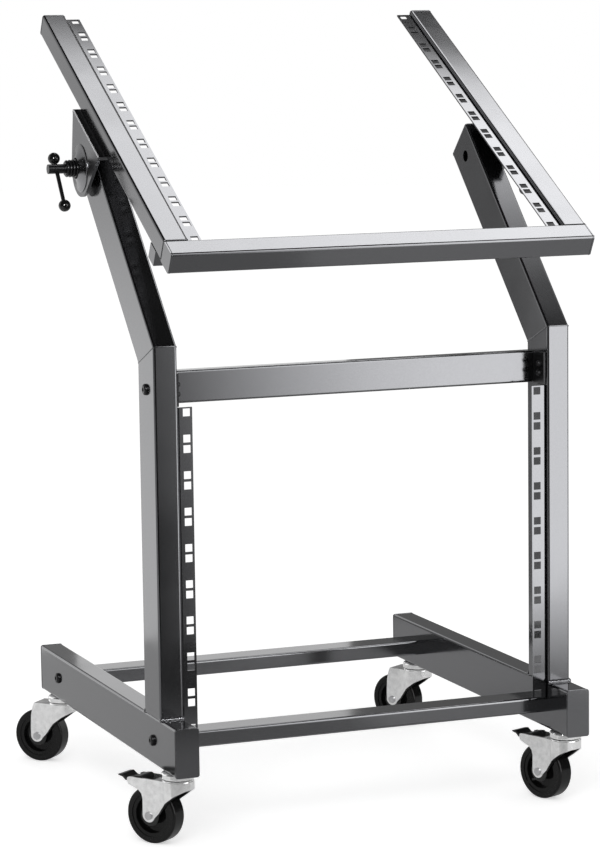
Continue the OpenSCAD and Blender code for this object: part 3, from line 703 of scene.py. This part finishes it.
class RACKCART_OT_studio(bpy.types.Operator):
    """Set the floor, the lights, the world and the camera"""

    bl_idname = "rackcart.studio"
    bl_label = "Studio"

    def lamp(self, name, place, target, side, strength, diffuse=True, glossy=True):
        """A square lamp of a given brightness per area."""
        data = bpy.data.lights.new(name, "AREA")
        data.shape = "SQUARE"
        data.size = side
        data.energy = strength * pi * side ** 2
        made = link(name, data)
        way = Vector(target) - Vector(place)
        made.rotation_euler = way.to_track_quat("-Z", "Y").to_euler()
        made.location = place
        made.visible_camera = False
        made.visible_diffuse = diffuse
        made.visible_glossy = glossy

    def level_by_ray(self, tree, plain, camera, mirror):
        """A brightness for plain light, and what is added to it for the camera and for reflections."""
        rays = shade(tree, "ShaderNodeLightPath")
        total = None
        for kind, more in (("Is Camera Ray", camera), ("Is Glossy Ray", mirror),
                           ("Is Transmission Ray", mirror)):
            step = shade(tree, "ShaderNodeMath", operation="MULTIPLY_ADD")
            tree.links.new(rays.outputs[kind], step.inputs[0])
            step.inputs[1].default_value = more
            step.inputs[2].default_value = plain
            if total:
                tree.links.new(total, step.inputs[2])
            total = step.outputs[0]
        return total

    def world(self):
        """A white surround for what the camera and the reflections see, and plain light for the rest."""
        world = bpy.data.worlds.new("studio")
        bpy.context.scene.world = world
        world.use_nodes = True
        tree = world.node_tree
        back = next(n for n in tree.nodes if n.type == "BACKGROUND")
        level = self.level_by_ray(tree, plain=0.6, camera=0.4, mirror=0.4)
        tree.links.new(level, back.inputs["Strength"])
        back.inputs["Color"].default_value = (1, 1, 1, 1)

    def screen(self, name, form, level, *fades):
        """Cloth or card that only reflections see. Each fade gives a direction, where along it the brightness
        starts and stops changing, and the share of it that is left before and after that."""
        mesh = bpy.data.meshes.new(name)
        form.to_mesh(mesh)
        form.free()
        made = link(name, mesh)
        finish, tree, shader = new_finish(name)
        shader.inputs["Base Color"].default_value = (0, 0, 0, 1)
        shader.inputs["Specular IOR Level"].default_value = 0.0
        shader.inputs["Emission Color"].default_value = (1, 1, 1, 1)
        shader.inputs["Emission Strength"].default_value = level
        brightness = None
        for way, start, stop, before, after in fades:
            along = shade(tree, "ShaderNodeVectorMath", operation="DOT_PRODUCT")
            tree.links.new(object_place(tree), along.inputs[0])
            along.inputs[1].default_value = way
            share = spread(tree, along.outputs["Value"], before, after, start, stop)
            faded = shade(tree, "ShaderNodeMath", operation="MULTIPLY")
            tree.links.new(share, faded.inputs[0])
            faded.inputs[1].default_value = level
            if brightness:
                tree.links.new(brightness, faded.inputs[1])
            brightness = faded.outputs[0]
        if brightness:
            tree.links.new(brightness, shader.inputs["Emission Strength"])
        mesh.materials.append(finish)
        for kind in ("camera", "diffuse", "shadow", "transmission", "volume_scatter"):
            setattr(made, "visible_" + kind, False)

    def flags(self, level):
        """Cloth round the front, the sides and the top, open at the rear up to a given slope."""
        form = bmesh.new()
        bmesh.ops.create_uvsphere(form, u_segments=48, v_segments=24, radius=6)
        rear_from, open_up_to = 0.2, 0.62
        gone = []
        for face in form.faces:
            way = face.calc_center_median().normalized()
            if way.z < 0 or (way.y > rear_from and way.z < open_up_to):
                gone.append(face)
        bmesh.ops.delete(form, geom=gone, context="FACES")
        self.screen("flags", form, level)

    def panel(self, name, corners, level, *fades):
        """A flat screen between four corners."""
        form = bmesh.new()
        form.faces.new([form.verts.new(corner) for corner in corners])
        self.screen(name, form, level, *fades)

    def upright_panel(self, name, low, high, y, level, *fades):
        """A panel across the rack, from one corner (x, z) to the other."""
        self.panel(name, [(low[0], y, low[1]), (high[0], y, low[1]),
                          (high[0], y, high[1]), (low[0], y, high[1])], level, *fades)

    def level_panel(self, name, low, high, z, level, *fades):
        """A level panel, from one corner (x, y) to the other."""
        self.panel(name, [(low[0], low[1], z), (high[0], low[1], z),
                          (high[0], high[1], z), (low[0], high[1], z)], level, *fades)

    def floor(self, colour):
        """A pale round floor that the camera sees white, apart from the cart's shadow."""
        mesh = bpy.data.meshes.new("floor")
        form = bmesh.new()
        bmesh.ops.create_circle(form, cap_ends=True, segments=64, radius=14)
        form.to_mesh(mesh)
        form.free()
        made = link("floor", mesh)
        finish, tree, shader = new_finish("floor")
        shader.inputs["Base Color"].default_value = (*colour, 1)
        shader.inputs["Roughness"].default_value = 0.9
        shader.inputs["Specular IOR Level"].default_value = 0.0
        shader.inputs["Emission Color"].default_value = (1, 1, 1, 1)
        level = self.level_by_ray(tree, plain=0, camera=0.55, mirror=0.1)
        tree.links.new(level, shader.inputs["Emission Strength"])
        mesh.materials.append(finish)

    def cards(self):
        """The screens that the paint reflects. The last arguments of each are its level and its fades."""
        self.flags(0.02)
        self.upright_panel("front_card", (-1.6, 0.004), (1.8, 1.9), -1.4, 3.86,
                           ((1, 0, 0.2), 0.088, 0.788, 0.005, 1))
        self.upright_panel("left_card", (-2.0, 0.004), (-0.36, 1.9), 0.95, 1.32,
                           ((0, 0, 1), 0.4, 0.9, 1, 0.55))
        self.upright_panel("rear_flag", (-0.36, 0.004), (-0.02, 1.2), 0.95, 0.3)
        self.upright_panel("rear_right_flag", (0.45, 0.004), (1.0, 1.2), 0.95, 0.2)
        self.level_panel("floor_flag", (-0.9, -1.4), (0.2, -0.34), 0.003, 0.42,
                         ((0, 1, 0), -1.0, -0.72, 0.2, 1))
        self.level_panel("floor_card", (0.2, -1.4), (1.8, -0.8), 0.003, 2.4,
                         ((0, 1, 0), -1.4, -0.8, 1, 0.25))
        self.level_panel("top_card", (0.02, 0.19), (1.5, 1.1), 2.2, 4.6,
                         ((1, 0, 0), -0.6, 1.2, 0.66, 1),
                         ((0.0975, 0.995, 0), 0.83, 0.97, 1, 0.005))
        self.level_panel("arm_card", (0.7, -0.42), (1.5, 0.185), 2.2, 3.2,
                         ((0, 1, 0), -0.36, 0.02, 0.05, 1))

    def camera(self, studio):
        """The camera, at the photograph's place and with its direction, roll and lens."""
        data = bpy.data.cameras.new("camera")
        data.sensor_fit = "VERTICAL"
        data.sensor_height = 36
        data.lens = studio.lens
        camera = link("camera", data)
        yaw, pitch, roll = studio.camera_yaw, studio.camera_pitch, studio.camera_roll
        ahead = Vector((sin(yaw) * cos(pitch), cos(yaw) * cos(pitch), -sin(pitch)))
        right = Vector((cos(yaw), -sin(yaw), 0))
        up = right.cross(ahead)
        across = right * cos(roll) + up * sin(roll)
        upwards = up * cos(roll) - right * sin(roll)
        turn = Matrix((across, upwards, -ahead)).transposed().to_4x4()
        camera.matrix_world = Matrix.Translation(studio.camera_place) @ turn
        bpy.context.scene.camera = camera

    def execute(self, context):
        studio = context.scene.rackcart_studio
        self.floor(studio.floor)
        self.world()
        self.cards()
        self.lamp("key", (-1.6, -2.6, 2.6), (0, 0, 0.5), side=1.6, strength=4, glossy=False)
        self.lamp("glint", (-0.85, -1.3, 1.2), (-0.2, 0, 0.6), side=0.3, strength=60, diffuse=False)
        self.camera(studio)
        context.scene.view_settings.view_transform = "Standard"
        return {"FINISHED"}


STEPS = (RACKCART_OT_frame_finish, RACKCART_OT_clamp_finish, RACKCART_OT_caster_finish,
         RACKCART_OT_weld_beads, RACKCART_OT_bracket_cones, RACKCART_OT_studio)


class RACKCART_PT_looks(bpy.types.Panel):
    """Lists the steps that dress the cart"""

    bl_label = "Rack cart"
    bl_idname = "RACKCART_PT_looks"
    bl_space_type = "VIEW_3D"
    bl_region_type = "UI"
    bl_category = "Rack cart"

    def draw(self, context):
        for step in STEPS:
            self.layout.operator(step.bl_idname)
        for group in (context.scene.rackcart_finish, context.scene.rackcart_welds,
                      context.scene.rackcart_studio):
            for key in group.__annotations__:
                self.layout.prop(group, key)


CLASSES = (RackCartFinish, RackCartWelds, RackCartStudio, *STEPS, RACKCART_PT_looks)


def register():
    for each in CLASSES:
        bpy.utils.register_class(each)
    bpy.types.Scene.rackcart_finish = PointerProperty(type=RackCartFinish)
    bpy.types.Scene.rackcart_welds = PointerProperty(type=RackCartWelds)
    bpy.types.Scene.rackcart_studio = PointerProperty(type=RackCartStudio)


def unregister():
    del bpy.types.Scene.rackcart_studio
    del bpy.types.Scene.rackcart_welds
    del bpy.types.Scene.rackcart_finish
    for each in reversed(CLASSES):
        bpy.utils.unregister_class(each)


def main():
    """Runs every step in order."""
    register()
    for step in STEPS:
        group, name = step.bl_idname.split(".")
        getattr(getattr(bpy.ops, group), name)()
    bpy.context.view_layer.update()


if __name__ == "__main__":
    main()
